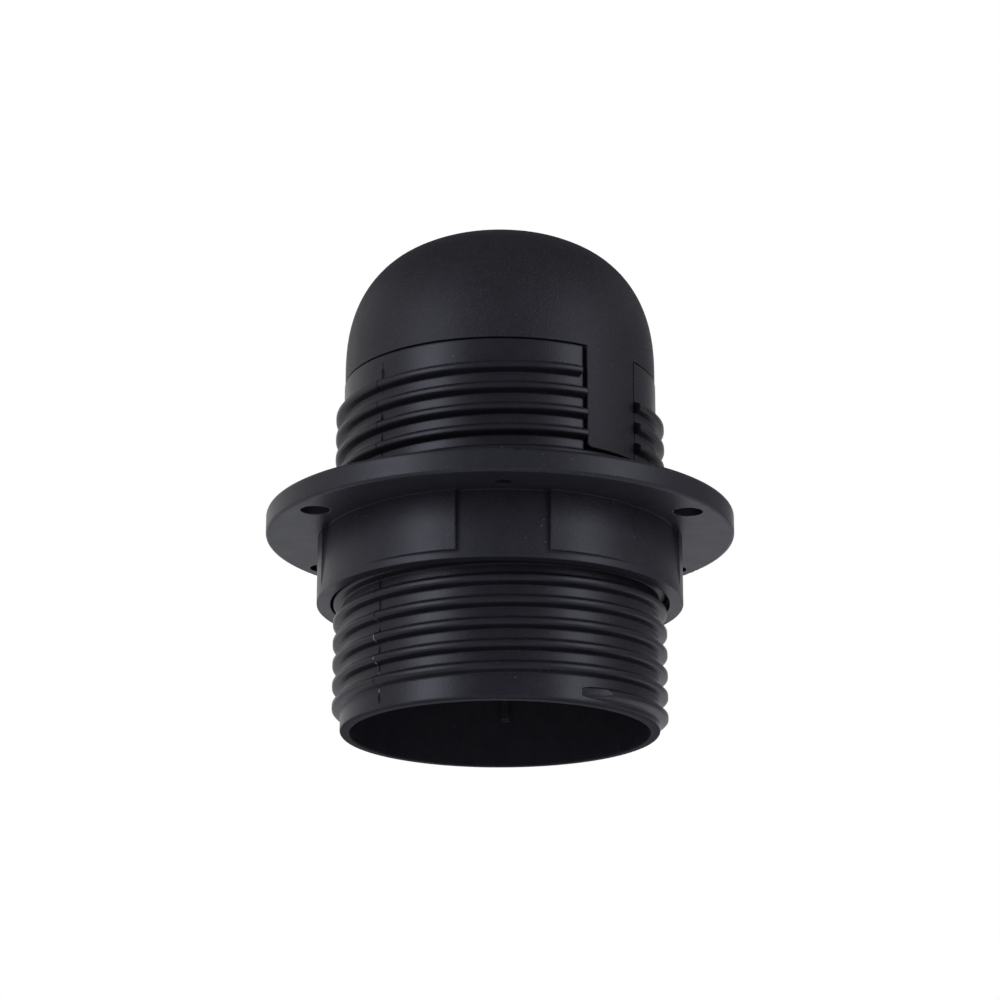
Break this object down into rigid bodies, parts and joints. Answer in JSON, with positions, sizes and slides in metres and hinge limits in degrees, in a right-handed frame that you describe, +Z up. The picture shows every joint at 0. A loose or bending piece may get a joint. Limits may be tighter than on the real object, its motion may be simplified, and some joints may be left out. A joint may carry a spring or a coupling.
{
  "type": "pendant lamp holder",
  "caption": "Round plastic lamp holder with a domed cap, a coarse-threaded skirt and a flanged shade ring; a sprung contact and screw terminals inside.",
  "frame": {"origin": "centre of the mouth's rim, in the plane of the rim", "axes": "+Z up the holder's axis to the cable entry; -Y towards the shade ring's front recess; +X to the right seen from the front"},
  "size_m": [0.0552, 0.0552, 0.0595],
  "materials": {
    "cap_plastic": "fine moulded grain, matt black",
    "skirt_plastic": "smooth moulded, satin black",
    "ring_plastic": "smooth moulded, satin black",
    "carrier_plastic": "moulded thermoset, dark grey",
    "shell_metal": "nickel-plated sheet",
    "strap_brass": "bare brass strip",
    "contact_brass": "turned brass",
    "rivet_metal": "headed brass",
    "spring_steel": "bright spring steel",
    "screw_steel": "zinc-plated steel",
    "bush_steel": "zinc-plated steel"
  },
  "bodies": {
    "holder": {"skirt": "skirt_plastic", "contact_carrier": "carrier_plastic", "screw_shell": "shell_metal", "shell_rivets": "rivet_metal", "terminal_rivets": "rivet_metal", "live_strap": "strap_brass", "neutral_strap": "strap_brass", "live_terminal": "contact_brass", "neutral_terminal": "contact_brass"},
    "cap": {"dome_cap": "cap_plastic", "entry_bush": "bush_steel"},
    "tube_lock": {"lock_screw": "screw_steel"},
    "ring": {"shade_ring": "ring_plastic"},
    "plunger": {"centre_contact": "contact_brass", "contact_clip": "spring_steel", "centre_spring": "spring_steel"},
    "live_clamp": {"live_clamp_plate": "screw_steel"},
    "live_screw": {"live_terminal_screw": "screw_steel"},
    "neutral_clamp": {"neutral_clamp_plate": "screw_steel"},
    "neutral_screw": {"neutral_terminal_screw": "screw_steel"}
  },
  "joints": [
    {"name": "cap_lift", "type": "slide", "parent": "holder", "child": "cap", "axis": [0, 0, 1], "range_m": [0, 0.03]},
    {"name": "tube_lock_travel", "type": "slide", "parent": "cap", "child": "tube_lock", "axis": [0.9703, -0.2419, 0], "range_m": [0, 0.002]},
    {"name": "ring_travel", "type": "slide", "parent": "holder", "child": "ring", "axis": [0, 0, 1], "range_m": [-0.015, 0.015]},
    {"name": "plunger_travel", "type": "slide", "parent": "holder", "child": "plunger", "axis": [0, 0, 1], "range_m": [0, 0.002], "stiffness_N_per_m": 590, "springref_m": -0.001, "deforming": ["centre_spring"]},
    {"name": "live_clamp_rise", "type": "slide", "parent": "holder", "child": "live_clamp", "axis": [0, 0, 1], "range_m": [0, 0.0025]},
    {"name": "live_screw_turn", "type": "hinge", "parent": "live_clamp", "child": "live_screw", "pos_m": [0.0099, 0, 0.0407], "axis": [0, 0, 1], "range_deg": [0, 1810]},
    {"name": "neutral_clamp_rise", "type": "slide", "parent": "holder", "child": "neutral_clamp", "axis": [0, 0, 1], "range_m": [0, 0.0025]},
    {"name": "neutral_screw_turn", "type": "hinge", "parent": "neutral_clamp", "child": "neutral_screw", "pos_m": [-0.0099, 0, 0.0407], "axis": [0, 0, 1], "range_deg": [0, 1810]}
  ],
  "couplings": [
    {"joint": "live_screw_turn", "follows": "live_clamp_rise", "rad_per_m": 12566},
    {"joint": "neutral_screw_turn", "follows": "neutral_clamp_rise", "rad_per_m": 12566}
  ]
}
